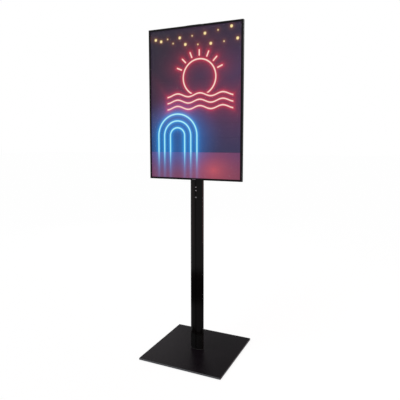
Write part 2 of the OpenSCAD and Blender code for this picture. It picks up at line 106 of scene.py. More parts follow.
HEAD_CHAMFER = 0.7
CORNER_SHARE = 0.97
TURN_STEPS = 24
SPIN_MOST = math.radians(60)

# Shares of a button-head screw's own sizes
SOCKET_SHARE = 0.19
RIM_SHARE = 0.12
TIP_SHARE = 0.36
TIP_HIGH_SHARE = 0.14
SOCKET_LAND = 1.35
SOCKET_MOUTH = 1.12
MOUTH_HIGH = 0.99
WALL_HIGH = 0.93
SOCKET_FLOOR = 0.4
DRILL_POINT = 0.3
DRILL_FLOOR = 0.34
DOME_STEPS = 5
DOME_STEP = math.radians(15)

# Post section in millimetres
POST_WALL = 2.5
RIB_WIDE = 18.0
RIB_HIGH = 4.0
GROOVE_WIDE = 5.0
GROOVE_DEEP = 1.8
OVAL_STEPS = 480

# Painted light in millimetres: reflection up from the post's foot, highlight in from the plate's edge
FOOT_REFLECTION_FROM = 85.0
FOOT_REFLECTION_TO = 115.0
RIM_HIGHLIGHT_FROM = 2.5
RIM_HIGHLIGHT_TO = 0.3

# Broken edges in millimetres
PLATE_EDGE = 0.8
RAIL_EDGE = 0.35
SHEET_EDGE = 0.4
MOULDED_EDGE = 0.6
BUTTON_EDGE = 0.3
INLET_EDGE = 0.15
EDGE_STEPS = 3
CREASE = math.radians(30)

# Cleaning of meshes: distances in millimetres at which points join, and what counts as flat
SOLID_WELD = 0.001
TUBE_WELD = 0.01
FLAT = math.radians(0.5)


def srgb(red, green, blue):
    """A screen colour, 0 to 255, as the linear light that a shader takes."""
    parts = []
    for part in (red / 255, green / 255, blue / 255):
        parts.append(part / 12.92 if part <= 0.04045 else ((part + 0.055) / 1.055) ** 2.4)
    return (*parts, 1.0)


class Value:
    """A node's output that takes part in Python sums: each operator adds one Math node."""

    def __init__(self, graph, socket):
        self.graph = graph
        self.socket = socket

    def math(self, operation, *others):
        return self.graph.math(operation, self, *others)

    def __add__(self, other):
        return self.math("ADD", other)

    def __sub__(self, other):
        return self.math("SUBTRACT", other)

    def __rsub__(self, other):
        return self.graph.math("SUBTRACT", other, self)

    def __mul__(self, other):
        return self.math("MULTIPLY", other)

    def __truediv__(self, other):
        return self.math("DIVIDE", other)

    def __abs__(self):
        return self.math("ABSOLUTE")

    __radd__ = __add__

    def most(self, other):
        return self.math("MAXIMUM", other)

    def least(self, other):
        return self.math("MINIMUM", other)

    def exp(self):
        return self.math("EXPONENT")

    def rise(self, low, high):
        """0 below low, 1 above high, and a soft step between them."""
        sockets = {"Value": self, "From Min": low, "From Max": high}
        return self.graph.node("ShaderNodeMapRange", {"interpolation_type": "SMOOTHSTEP"}, sockets)


class Graph:
    """A node tree that is written as Python expressions."""

    def __init__(self, tree):
        self.tree = tree

    def node(self, kind, settings=None, sockets=None, output=0):
        made = self.tree.nodes.new(kind)
        for name, value in (settings or {}).items():
            setattr(made, name, value)
        for key, value in (sockets or {}).items():
            for part in value if isinstance(value, list) else [value]:
                if isinstance(part, Value):
                    self.tree.links.new(part.socket, made.inputs[key])
                else:
                    made.inputs[key].default_value = part
        return Value(self, made.outputs[output])

    def math(self, operation, *terms):
        return self.node("ShaderNodeMath", {"operation": operation}, dict(enumerate(terms)))

    def vector(self, x, y, z):
        return self.node("ShaderNodeCombineXYZ", None, {"X": x, "Y": y, "Z": z})

    def parts(self, vector):
        return [self.node("ShaderNodeSeparateXYZ", None, {"Vector": vector}, axis) for axis in "XYZ"]

    def length(self, x, y):
        return (x * x + y * y).math("SQRT")


class Finish(Graph):
    """A material: one Principled shader, its constants, and the nodes that drive it."""

    def __init__(self, name, colour, roughness, **constants):
        self.material = bpy.data.materials.new(name)
        self.material.use_nodes = True
        super().__init__(self.material.node_tree)
        self.shader = self.tree.nodes["Principled BSDF"]
        constants = {"Base Color": colour, "Roughness": roughness, **constants}
        for label, value in constants.items():
            self.shader.inputs[label.replace("_", " ")].default_value = value
        self.at = self.node("ShaderNodeTexCoord", output="Object")

    def feed(self, label, value):
        self.tree.links.new(value.socket, self.shader.inputs[label])
        return self

    def noise(self, scale, detail=2.0, stretch=(1, 1, 1)):
        sockets = {0: self.at, 1: stretch}
        where = self.node("ShaderNodeVectorMath", {"operation": "MULTIPLY"}, sockets)
        return self.node("ShaderNodeTexNoise", None, {"Vector": where, "Scale": scale, "Detail": detail})

    def mix(self, factor, first, second, blend="MIX"):
        settings = {"data_type": "RGBA", "blend_type": blend}
        return self.node("ShaderNodeMix", settings, {0: factor, 6: first, 7: second}, 2)

    def bump(self, height, strength, distance):
        sockets = {"Height": height, "Strength": strength, "Distance": distance}
        return self.feed("Normal", self.node("ShaderNodeBump", None, sockets))


class Growth(Graph):
    """A Geometry Nodes tree with named inputs, which grows into a plain mesh."""

    def __init__(self, name, **kinds):
        tree = bpy.data.node_groups.new(name, "GeometryNodeTree")
        tree.interface.new_socket("Mesh", in_out="OUTPUT", socket_type="NodeSocketGeometry")
        self.ports = {}
        for label, kind in {**kinds, "finish": "Material"}.items():
            port = tree.interface.new_socket(label, in_out="INPUT", socket_type=f"NodeSocket{kind}")
            self.ports[label] = port.identifier
        super().__init__(tree)
        self.entry = tree.nodes.new("NodeGroupInput")

    def size(self, label):
        return Value(self, self.entry.outputs[label])

    def end(self, geometry):
        whole = self.node("GeometryNodeRealizeInstances", None, {"Geometry": geometry})
        sockets = {"Geometry": whole, "Material": self.size("finish")}
        done = self.node("GeometryNodeSetMaterial", None, sockets)
        self.tree.links.new(done.socket, self.tree.nodes.new("NodeGroupOutput").inputs[0])
        return self

    def grow(self, finish, **sizes):
        carrier = linked("carrier", bpy.data.meshes.new("carrier"))
        modifier = carrier.modifiers.new("growth", "NODES")
        modifier.node_group = self.tree
        for label, value in {**sizes, "finish": finish.material}.items():
            modifier[self.ports[label]] = value
        mesh = plain_mesh(carrier)
        mesh.materials.clear()
        mesh.materials.append(finish.material)
        return mesh


def linked(name, mesh):
    made = bpy.data.objects.new(name, mesh)
    bpy.context.scene.collection.objects.link(made)
    return made


def plain_mesh(carrier):
    """The carrier's evaluated mesh, without its modifiers; the carrier is removed."""
    depsgraph = bpy.context.evaluated_depsgraph_get()
    mesh = bpy.data.meshes.new_from_object(carrier.evaluated_get(depsgraph))
    bpy.data.objects.remove(carrier)
    return mesh


def smooth(mesh):
    mesh.shade_smooth()
    mesh.set_sharp_from_angle(angle=CREASE)
    return mesh


def gathered(meshes):
    """Several meshes as one."""
    work = bmesh.new()
    for mesh in meshes:
        work.from_mesh(mesh)
    whole = bpy.data.meshes.new("gathered")
    work.to_mesh(whole)
    work.free()
    for material in meshes[0].materials:
        whole.materials.append(material)
    return whole


def piece(name, mesh, slot, *nodes):
    """A finished mesh that moves with the body of the solids it stands for."""
    made = linked(name, mesh)
    mesh.name = name
    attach(made, frame["nodes"][nodes[0]]["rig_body"])
    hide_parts(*nodes)
    return made


def dressed(name, finish, slot, edge, node):
    """A solid with its edges broken by a small round."""
    work = bmesh.new()
    work.from_mesh(frame["nodes"][node].data)
    bmesh.ops.remove_doubles(work, verts=work.verts, dist=SOLID_WELD * MM)
    bmesh.ops.dissolve_limit(work, angle_limit=FLAT, verts=work.verts, edges=work.edges)
    mesh = bpy.data.meshes.new(name)
    work.to_mesh(mesh)
    work.free()
    mesh.shade_smooth()
    mesh.materials.append(finish.material)
    carrier = linked("carrier", mesh)
    bevel = carrier.modifiers.new("edge", "BEVEL")
    bevel.width = edge * MM
    bevel.segments = EDGE_STEPS
    bevel.limit_method = "ANGLE"
    bevel.angle_limit = CREASE
    bevel.use_clamp_overlap = False
    flat = carrier.modifiers.new("flat", "WEIGHTED_NORMAL")
    flat.weight = 100
    return piece(name, plain_mesh(carrier), slot, node)


def coated(finish, *nodes):
    """Solids that keep their shape and take a finish."""
    for node in nodes:
        mesh = frame["nodes"][node].data
        mesh.materials.clear()
        mesh.materials.append(finish.material)


# Finishes: printed dots of the light guide and tracks of the boards in millimetres

DOT_PITCH = 3.0
DOT_CORE = 0.5
DOT_EDGE = 0.7
TRACK_PITCH = 2.4
TRACK_WAVER = 0.4
TRACK_FROM = 0.7
TRACK_TO = 0.8


def black_metal(name, colour, roughness, level):
    return Finish(name, colour, roughness, Specular_IOR_Level=level)


def powder_coat():
    """Powder coat on steel: tiny lumps, a little uneven in gloss; a painted highlight at the rim."""
    coat = black_metal("powder_coat", srgb(10, 8, 10), 0.33, 0.0175)
    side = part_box("base_plate")[1].x
    x, y, _ = coat.parts(coat.at)
    # Painted highlight: lighter along the plate's rim and its edge faces.
    rim = abs(x).most(abs(y)).rise(side - RIM_HIGHLIGHT_FROM * MM, side - RIM_HIGHLIGHT_TO * MM)
    cloud = coat.noise(9.0, 3.0)
    scuff = coat.noise(60.0, 4.0, (1, 0.15, 1)).rise(0.62, 0.78)
    lumps = coat.noise(650.0, 2.0) + coat.noise(1900.0, 1.0) * 0.4
    colour = coat.mix(cloud, srgb(4, 2, 4), srgb(15, 11, 15))
    colour = coat.mix(lumps.rise(0.70, 0.95) * 0.6, colour, srgb(30, 27, 30))
    colour = coat.mix(rim * 0.8, colour, srgb(78, 79, 82))
    coat.feed("Base Color", coat.mix(scuff * 0.10, colour, srgb(38, 36, 38)))
    coat.feed("Roughness", 0.31 + cloud * 0.08 + scuff * 0.05)
    return coat.bump(lumps, 0.35, 0.25 * MM)


def drawn_black():
    """Glossy black extrusion: faint die lines up the post, uneven gloss, painted shade and reflection.
    """
    gloss = black_metal("drawn_black", srgb(5, 4, 4), 0.12, 0.09)
    x, _, z = gloss.parts(gloss.at)
    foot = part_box("post")[0].z
    lines = gloss.noise(1500.0, 3.0, (1, 1, 0.002))
    haze = gloss.noise(14.0, 3.0, (1, 1, 0.3))
    # Painted shade: the groove is darker, and being metallic over black it shows almost no reflection.
    groove = 1 - abs(x).rise(0.3 * GROOVE_WIDE * MM, 0.5 * GROOVE_WIDE * MM)
    # Painted reflection: the post is lighter near its foot.
    foot_reflection = 1 - z.rise(foot + FOOT_REFLECTION_FROM * MM, foot + FOOT_REFLECTION_TO * MM)
    colour = gloss.mix(lines, srgb(4, 3, 3), srgb(8, 6, 6))
    colour = gloss.mix(foot_reflection, colour, srgb(15, 15, 15))
    gloss.feed("Base Color", gloss.mix(groove, colour, srgb(3, 3, 3)))
    gloss.feed("Metallic", groove * 0.9)
    gloss.feed("Roughness", 0.07 + haze * 0.05 + lines * 0.04)
    return gloss.bump(lines, 0.06, 0.04 * MM)


def brushed_black(name, stretch):
    """Black anodised rail, brushed along its length."""
    satin = black_metal(name, srgb(10, 9, 11), 0.38, 0.06)
    brush = satin.noise(1800.0, 3.0, stretch)
    cloud = satin.noise(25.0, 2.0)
    satin.feed("Base Color", satin.mix(brush, srgb(6, 5, 7), srgb(15, 13, 15)))
    satin.feed("Roughness", 0.30 + brush * 0.14 + cloud * 0.05)
    return satin.bump(brush, 0.10, 0.03 * MM)


def painted_steel():
    """Semi-gloss black paint on the neck and brackets, with a slight orange-peel surface."""
    paint = black_metal("painted_steel", srgb(18, 17, 18), 0.35, 0.2)
    peel = paint.noise(420.0, 2.0)
    cloud = paint.noise(30.0, 3.0)
    paint.feed("Base Color", paint.mix(cloud, srgb(14, 13, 14), srgb(24, 23, 24)))
    paint.feed("Roughness", 0.30 + cloud * 0.12)
    return paint.bump(peel, 0.14, 0.05 * MM)


def textured_sheet():
    """Matte black sheet with a pebbled texture on the back of the light box."""
    sheet = black_metal("textured_sheet", srgb(20, 20, 21), 0.55, 0.22)
    pebble = sheet.node("ShaderNodeTexVoronoi", None, {"Vector": sheet.at, "Scale": 650.0})
    cloud = sheet.noise(7.0, 3.0)
    sheet.feed("Base Color", sheet.mix(cloud, srgb(16, 16, 17), srgb(25, 25, 26)))
    sheet.feed("Roughness", 0.50 + pebble * 0.2)
    return sheet.bump(pebble, 0.25, 0.12 * MM)


def bright_zinc():
    """Zinc-plated steel: bright, a little cloudy, with fine turning marks."""
    zinc = Finish("bright_zinc", srgb(196, 198, 202), 0.28, Metallic=1.0)
    cloud = zinc.noise(260.0, 3.0)
    marks = zinc.noise(5200.0, 2.0)
    zinc.feed("Base Color", zinc.mix(cloud, srgb(176, 178, 182), srgb(214, 215, 216)))
    zinc.feed("Roughness", 0.20 + cloud * 0.16)
    return zinc.bump(marks, 0.05, 0.02 * MM)


def dull_nickel():
    """Dark nickel-plated screws, dull from handling."""
    nickel = Finish("dull_nickel", srgb(122, 120, 123), 0.34, Metallic=1.0)
    cloud = nickel.noise(300.0, 3.0)
    nickel.feed("Base Color", nickel.mix(cloud, srgb(106, 104, 107), srgb(140, 138, 141)))
    nickel.feed("Roughness", 0.26 + cloud * 0.16)
    return nickel.bump(nickel.noise(5200.0, 2.0), 0.05, 0.02 * MM)


def bare_aluminium():
    """Mill-finish aluminium with drawn streaks."""
    mill = Finish("bare_aluminium", srgb(188, 189, 191), 0.4, Metallic=1.0)
    streak = mill.noise(1200.0, 3.0, (0.05, 1, 0.05))
    mill.feed("Base Color", mill.mix(streak, srgb(170, 171, 173), srgb(205, 206, 208)))
    mill.feed("Roughness", 0.32 + streak * 0.2)
    return mill.bump(streak, 0.05, 0.02 * MM)


def moulded(name, dark, light, roughness):
    """Moulded plastic or rubber: a fine spark-eroded texture and a soft unevenness."""
    plastic = Finish(name, dark, roughness, Specular_IOR_Level=0.3)
    grain = plastic.noise(1500.0, 2.0)
    cloud = plastic.noise(40.0, 2.0)
    plastic.feed("Base Color", plastic.mix(cloud, dark, light))
    plastic.feed("Roughness", roughness - 0.05 + grain * 0.1)
    return plastic.bump(grain, 0.12, 0.04 * MM)


def clear_window():
    """Clear anti-glare sheet: almost invisible, with the least matte haze."""
    clear = Finish("clear_window", srgb(14, 14, 16), 0.4, Alpha=0.03, Specular_IOR_Level=0.3)
    haze = clear.noise(12.0, 3.0)
    clear.feed("Roughness", 0.34 + haze * 0.12)
    return clear


def lit_opal():
    """Opal diffuser, lit from both side edges."""
    opal = Finish("lit_opal", srgb(170, 169, 166), 0.5, Emission_Strength=0.42)
    x, _, _ = opal.parts(opal.at)
    edge = abs(x).rise(0.0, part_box("diffuser")[1].x)
    cloud = opal.noise(18.0, 2.0)
    opal.feed("Emission Color", opal.mix(edge, srgb(228, 226, 220), srgb(255, 253, 250)))
    return opal.feed("Roughness", 0.45 + cloud * 0.1)


def dotted_guide():
    """Clear light guide with a printed grid of white dots."""
    guide = Finish("dotted_guide", srgb(225, 238, 240), 0.1, Emission_Strength=0.5)
    x, _, z = guide.parts(guide.at)
    half = DOT_PITCH / 2 * MM
    dot = guide.length(x.math("WRAP", half, -half), z.math("WRAP", half, -half))
    mask = 1 - dot.rise(DOT_CORE * MM, DOT_EDGE * MM)
    guide.feed("Base Color", guide.mix(mask, srgb(205, 225, 228), srgb(250, 250, 250)))
    guide.feed("Emission Color", guide.mix(mask, srgb(120, 125, 125), srgb(255, 254, 250)))
    return guide.feed("Roughness", 0.08 + mask * 0.5)


def circuit_board(name, mask, copper):
    """Solder mask with faint copper tracks under it."""
    board = Finish(name, mask, 0.35, Specular_IOR_Level=0.5)
    x, _, _ = board.parts(board.at)
    half = TRACK_PITCH / 2 * MM
    waver = board.noise(90.0) * TRACK_WAVER * MM
    track = (abs(x.math("WRAP", half, -half)) + waver).rise(TRACK_FROM * MM, TRACK_TO * MM)
    board.feed("Base Color", board.mix(track, mask, copper))
    return board.bump(track, 0.2, 0.03 * MM)


def phosphor():
    """LED chips: yellow phosphor in a white cup, lit."""
    chip = Finish("phosphor", srgb(250, 226, 120), 0.4, Emission_Strength=1.0)
    grain = chip.noise(3000.0, 2.0)
    chip.feed("Base Color", chip.mix(grain, srgb(240, 210, 90), srgb(255, 240, 160)))
    return chip.feed("Emission Color", chip.mix(grain, srgb(255, 236, 190), srgb(255, 250, 232)))


# Poster print: distances in metres on the sheet

PRINT_FLOOR = 0.165
TUBE_CORE = 0.0042
NEAR_GLOW = 0.0085
WIDE_GLOW = 0.055
SUN = (0.035, 0.615)
SUN_RADIUS = 0.108
RAY_FROM = 0.130
RAY_LONG = 0.030
RAY_TURN = math.radians(22.5)
RAY_PAIRS = 3
WAVE_MIDDLE = 0.474
WAVE_GAP = 0.038
WAVE_HIGH = 0.010
WAVE_LONG = 0.150
WAVE_HALF = 0.215
WAVES = 3
ARCH_MIDDLE = -0.115
ARCH_SPRING = 0.100
ARCH_RADIUS = 0.092
ARCH_GAP = 0.042
ARCHES = 3
LAMP_STEP = 0.084
LAMP_SMALL = 0.0050
LAMP_MORE = 0.0045
LAMP_DROP = 0.012
LAMP_GLOW = 0.008
WIRE_CORE = 0.0006
WIRE_EDGE = 0.0016
BOARD_HIGH = 0.088
BOARD_CORE = 0.0004
BOARD_EDGE = 0.0022
FLOOR_EDGE = 0.003
SHEEN_FADE = 0.17
SHEEN_MOST = 0.85
SHEEN_SPREAD = 0.04
RED_FADE = 0.08
WALL_TOP = (0.62, 0.88)
WALL_FOOT = 0.30
PATCH = (0.13, 0.055)
PATCH_FADE = 0.07
PATCH_FLAT = 0.8
AURA_FROM = 0.06
AURA_TO = 0.26
AURA_FLAT = 0.8

# Each string of lamps: middle, lowest height, bend and place of the first lamp
NEAR_STRING = (0.09, 0.818, 0.40, 0.026)
FAR_STRING = (-0.16, 0.868, 0.22, -0.012)

# Neon colours: core, near glow and wide glow
BLUE_NEON = (srgb(176, 250, 255), srgb(16, 176, 240), srgb(6, 100, 180))
RED_NEON = (srgb(255, 226, 212), srgb(240, 44, 56), srgb(136, 14, 30))


def band(value, middle, gap, count):
    """Distance to the nearest of some lines that lie a gap apart about the middle."""
    off = value - middle
    nearest = abs(off.math("WRAP", gap / 2, -gap / 2))
    return nearest.most(abs(off) - gap * (count - 1) / 2)


def neon(ink, picture, distance, bright, core, near, wide):
    """Adds a neon tube: a wide glow on the wall, a close glow and a pale core."""
    picture = ink.mix((distance / -WIDE_GLOW).exp() * bright * 0.5, picture, wide, "ADD")
    picture = ink.mix((distance / -NEAR_GLOW).exp() * bright * 0.9, picture, near, "ADD")
    return ink.mix((1 - distance.rise(TUBE_CORE * 0.55, TUBE_CORE * 1.3)) * bright, picture, core)


def sun_and_waves(ink, across, up):
    """Distance to a sun with short rays that sets behind three waves."""
    x, z = across - SUN[0], up - SUN[1]
    out = ink.length(x, z)
    angle = x.math("ARCTAN2", z)
    nearest = (angle + RAY_TURN / 2).math("SNAP", RAY_TURN)
    turn = angle - nearest.most(-RAY_PAIRS * RAY_TURN).least(RAY_PAIRS * RAY_TURN)
    along = abs(out * turn.math("COSINE") - (RAY_FROM + RAY_LONG / 2)) - RAY_LONG / 2
    ray = ink.length(out * turn.math("SINE"), along.most(0.0))
    swell = up - (across * (2 * math.pi / WAVE_LONG)).math("SINE") * WAVE_HIGH
    waves = band(swell, WAVE_MIDDLE, WAVE_GAP, WAVES).most(abs(across - SUN[0]) - WAVE_HALF)
    above = (WAVE_MIDDLE + WAVE_GAP * WAVES / 2) - swell
    return abs(out - SUN_RADIUS).least(ray).most(above).least(waves)


def arches(ink, across, height):
    """Distance to arches that stand one inside another."""
    out = ink.length(across - ARCH_MIDDLE, (height - ARCH_SPRING).most(0.0))
    return band(out, ARCH_RADIUS, ARCH_GAP, ARCHES)


def lamp_string(ink, picture, across, up, middle, low, bend, first):
    """Adds a string of lamps that hangs in a shallow curve, large and small ones in turn."""
    def hang(x):
        return (x - middle) * (x - middle) * bend + low

    at = (across - first + LAMP_STEP / 2).math("SNAP", LAMP_STEP) + first
    big = ((at - first) / LAMP_STEP).math("PINGPONG", 1.0)
    bulb = ink.length(across - at, up - hang(at) + LAMP_DROP) - big * LAMP_MORE
    wire = abs(up - hang(across))
    picture = ink.mix((1 - wire.rise(WIRE_CORE, WIRE_EDGE)) * 0.7, picture, srgb(22, 19, 30))
    picture = ink.mix((bulb.most(0.0) / -LAMP_GLOW).exp() * 0.5, picture, srgb(190, 112, 56), "ADD")
    return ink.mix(1 - bulb.rise(LAMP_SMALL * 0.7, LAMP_SMALL), picture, srgb(255, 233, 164))


def poster_print():
    """Lit print: a neon sun and waves on a dark wall, arches on a glossy floor, strings of lamps."""
    ink = Finish("poster_print", srgb(16, 14, 20), 0.45, Emission_Strength=1.0,
                 Specular_IOR_Level=0.1)
    low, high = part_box("poster_sheet")
    x, _, z = ink.parts(ink.at)
    across = x - (low.x + high.x) / 2
    up = z - low.z
    half = (high.x - low.x) / 2
    depth = (PRINT_FLOOR - up).most(0.0)
    ground = depth.rise(0.0, FLOOR_EDGE)
    sheen = (depth / -SHEEN_FADE).exp() * SHEEN_MOST
    red = sun_and_waves(ink, across, up)
    blue = arches(ink, across, (up - PRINT_FLOOR).most(0.0)) + depth * SHEEN_SPREAD
    wall = ink.mix(across.rise(-half, half), srgb(38, 35, 52), srgb(66, 54, 88))
    wall = ink.mix((red.most(0.0) / -RED_FADE).exp() * 0.75, wall, srgb(82, 42, 66))
    wall = ink.mix(up.rise(*WALL_TOP) * 0.75, wall, srgb(36, 30, 47))
    wall = ink.mix((1 - up.rise(PRINT_FLOOR, WALL_FOOT)) * 0.5, wall, srgb(46, 50, 82))
    joint = abs((up - PRINT_FLOOR).math("WRAP", BOARD_HIGH / 2, -BOARD_HIGH / 2))
    wall = ink.mix((1 - joint.rise(BOARD_CORE, BOARD_EDGE)) * 0.3, wall, srgb(24, 22, 34))
    gloss = ink.mix(depth.rise(0.0, PRINT_FLOOR), srgb(98, 62, 104), srgb(120, 64, 90))
    patch = ink.length((across - PATCH[0]) * PATCH_FLAT, up - PATCH[1])
    gloss = ink.mix((patch / -PATCH_FADE).exp(), gloss, srgb(196, 84, 96))
    picture = ink.mix(ground, wall, gloss)
    for string in (NEAR_STRING, FAR_STRING):
        picture = lamp_string(ink, picture, across, up, *string)
    aura = ink.length((across - ARCH_MIDDLE) * AURA_FLAT, up - PRINT_FLOOR - ARCH_SPRING)
    picture = ink.mix((1 - aura.rise(AURA_FROM, AURA_TO)) * 0.46, picture, srgb(14, 104, 178))
    picture = neon(ink, picture, blue, 1 - ground * (1 - sheen), *BLUE_NEON)
    picture = neon(ink, picture, red, 1 - ground, *RED_NEON)
    grain = ink.noise(700.0, 2.0)
    picture = ink.mix((grain - 0.5) * 0.10 + 0.05, picture, srgb(14, 12, 18))
    return ink.feed("Emission Color", picture)


# Turned parts

def turned(name, rings, hollow=False):
    """A part turned about Z from rings of (radius, height, flats), in millimetres; no flats is round."""
    work = bmesh.new()
    loops = []
    for radius, height, flats in rings:
        loop = []
        for step in range(TURN_STEPS):
            angle = 2 * math.pi * step / TURN_STEPS
            reach = radius
            if flats:
                reach = radius / math.cos(angle % (2 * math.pi / flats) - math.pi / flats)
            spot = (reach * math.cos(angle), reach * math.sin(angle), height)
            loop.append(work.verts.new(Vector(spot) * MM))
        loops.append(loop)
    for low, high in zip(loops, loops[1:] + loops[:1] if hollow else loops[1:]):
        for step in range(TURN_STEPS):
            after = (step + 1) % TURN_STEPS
            work.faces.new((low[step], low[after], high[after], high[step]))
    if not hollow:
        work.faces.new(loops[0])
        work.faces.new(loops[-1])
    bmesh.ops.recalc_face_normals(work, faces=work.faces)
    mesh = bpy.data.meshes.new(name)
    work.to_mesh(mesh)
    work.free()
    return linked(name, smooth(mesh))


def dome_screw(name, shank, head, high, reach):
    """Button-head screw with a hexagon socket: the head's seat is at zero and its shank points down."""
    radius = head / 2
    ball = (radius * radius + high * high) / (2 * high)
    socket = head * SOCKET_SHARE
    rim = high * RIM_SHARE
    rings = [(shank * TIP_SHARE, -reach, 0), (shank / 2, shank * TIP_HIGH_SHARE - reach, 0),
             (shank / 2, 0, 0), (radius - rim, 0, 0), (radius, rim, 0)]
    for step in range(1, DOME_STEPS + 1):
        up = rim + (high - rim) * math.sin(DOME_STEP * step)
        dome = math.sqrt(max(ball ** 2 - (up + ball - high) ** 2, (socket * SOCKET_LAND) ** 2))
        rings.append((dome, up, 0))
    rings.append((socket * SOCKET_MOUTH, high * MOUTH_HIGH, 6))
    rings.append((socket, high * WALL_HIGH, 6))
    rings.append((socket, high * SOCKET_FLOOR, 6))
    rings.append((socket * DRILL_POINT, high * DRILL_FLOOR, 0))
    return turned(name, rings)


def bracket_grip():
    """Half the width that the bracket's bolts hold, in millimetres: half the neck and one cheek."""
    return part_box("neck_tube")[1].x / MM + BRACKET_PLATE


def hex_bolt(name):
    """Hexagon-head bolt with a chamfered head."""
    grip = bracket_grip()
    tip = -grip - NUT_HIGH - BOLT_END
    top = grip + BOLT_HEAD_HIGH
    shank = BOLT_SHANK / 2
    flat = BOLT_FLATS / 2
    rings = [(shank * BOLT_END_SHARE, tip, 0), (shank, tip + BOLT_END_CHAMFER, 0),
             (shank, grip, 0), (flat, grip, 0), (flat, grip + HEAD_WASHER, 6),
             (flat, top - HEAD_CHAMFER, 6), (flat * CORNER_SHARE, top, 0)]
    return turned(name, rings)


def hex_nut(name):
    """Hexagon nut, chamfered on both faces and at its thread."""
    near = -bracket_grip()
    far = near - NUT_HIGH
    bore = BOLT_SHANK / 2 + BORE_ROOM
    mouth = bore + THREAD_CHAMFER
    flat = BOLT_FLATS / 2
    rings = [(mouth, near, 0), (flat * CORNER_SHARE, near, 0), (flat, near - NUT_CHAMFER, 6),
             (flat, far + NUT_CHAMFER, 6), (flat * CORNER_SHARE, far, 0), (mouth, far, 0),
             (bore, far + THREAD_CHAMFER, 0), (bore, near - THREAD_CHAMFER, 0)]
    return turned(name, rings, hollow=True)


def seat_drill(name, deep):
    """Stepped drill: a flat seat for a screw's head and a bore for its shank."""
    seat = (CLAMP_HEAD + SEAT_ROOM) / 2
    bore = CLAMP_SHANK / 2 + BORE_ROOM
    return turned(name, [(bore, -deep, 0), (bore, 0, 0), (seat, 0, 0), (seat, deep, 0)])


# Geometry Nodes

def lattice_tree():
    """Copies of one part in columns and rows, each turned about its own axis by chance."""
    tree = Growth("lattice", part="Object", corner="Vector", across="Vector", columns="Int",
                  up="Vector", rows="Int", turn="Vector", spin="Float", seed="Int")
    line = {"mode": "OFFSET", "count_mode": "TOTAL"}
    column = tree.node("GeometryNodeMeshLine", line, {
        "Count": tree.size("rows"), "Start Location": tree.size("corner"), "Offset": tree.size("up")})
    row = tree.node("GeometryNodeMeshLine", line, {
        "Count": tree.size("columns"), "Start Location": (0, 0, 0), "Offset": tree.size("across")})
    rows = tree.node("GeometryNodeInstanceOnPoints", None, {"Points": column, "Instance": row})
    points = tree.node("GeometryNodeRealizeInstances", None, {"Geometry": rows})
    part = tree.node("GeometryNodeObjectInfo", None, {"Object": tree.size("part")}, "Geometry")
    placed = tree.node("GeometryNodeInstanceOnPoints", None, {
        "Points": points, "Instance": part, "Rotation": tree.size("turn")})
    chance = tree.node("FunctionNodeRandomValue", {"data_type": "FLOAT"}, {
        2: 0.0, 3: tree.size("spin"), 8: tree.size("seed")}, 1)
    spun = tree.node("GeometryNodeRotateInstances", None, {
        "Instances": placed, "Rotation": tree.vector(0.0, 0.0, chance), "Local Space": True})
    return tree.end(spun)


def post_tree():
    """Oval tube with a groove down the front and back and a rib inside each, drilled by a cutter."""
    tree = Growth("oval_post", wide="Float", deep="Float", wall="Float", rib_wide="Float",
                  rib_high="Float", groove_wide="Float", groove_deep="Float", low="Float",
                  high="Float", steps="Int", cutter="Object")
    circle = tree.node("GeometryNodeCurvePrimitiveCircle", {"mode": "RADIUS"}, {
        "Resolution": tree.size("steps"), "Radius": 1.0})
    x, y, _ = tree.parts(tree.node("GeometryNodeInputPosition"))

    def outline(reach_x, reach_y):
        return tree.node("GeometryNodeSetPosition", None, {
            "Geometry": circle, "Position": tree.vector(reach_x, reach_y, tree.size("low"))})

    across = x * tree.size("wide") / 2
    notch = (1 - abs(across) / (tree.size("groove_wide") / 2)).most(0.0) * tree.size("groove_deep")
    outer = outline(across, y * tree.size("deep") / 2 - y.math("SIGN") * notch)
    inside = x * (tree.size("wide") / 2 - tree.size("wall"))
    face = tree.size("deep") / 2 - tree.size("wall")
    under = abs(inside).math("LESS_THAN", tree.size("rib_wide") / 2) * tree.size("rib_high")
    inner = outline(inside, y.math("SIGN") * (abs(y) * face).least(face - under))
    rings = tree.node("GeometryNodeJoinGeometry", None, {"Geometry": [outer, inner]})
    end = tree.node("GeometryNodeFillCurve", {"mode": "TRIANGLES"}, {"Curve": rings})
    rise = tree.vector(0.0, 0.0, tree.size("high") - tree.size("low"))
    body = tree.node("GeometryNodeExtrudeMesh", {"mode": "FACES"}, {
        "Mesh": end, "Offset": rise, "Offset Scale": 1.0, "Individual": False})
    foot = tree.node("GeometryNodeFlipFaces", None, {"Mesh": end})
    both = tree.node("GeometryNodeJoinGeometry", None, {"Geometry": [body, foot]})
    tube = tree.node("GeometryNodeMergeByDistance", None, {"Geometry": both, "Distance": TUBE_WELD * MM})
    cutter = tree.node("GeometryNodeObjectInfo", None, {"Object": tree.size("cutter")}, "Geometry")
    drilled = tree.node("GeometryNodeMeshBoolean", {"operation": "DIFFERENCE", "solver": "EXACT"}, {
        "Mesh 1": tube, "Mesh 2": cutter})
    return tree.end(drilled)


lattice = lattice_tree()
zinc = bright_zinc()
nickel = dull_nickel()
TO_FRONT = (math.radians(90), 0, 0)
TO_BACK = (math.radians(-90), 0, 0)
TO_RIGHT = (0, math.radians(90), 0)


def copies(part, corner, turn, across=(0, 0, 0), columns=1, up=(0, 0, 0), rows=1, seed=0,
           finish=zinc):
    """Copies of a fastener on a lattice, as one mesh."""
    return lattice.grow(finish, part=part, corner=corner, across=across, columns=columns, up=up,
                        rows=rows, turn=turn, spin=SPIN_MOST, seed=seed)


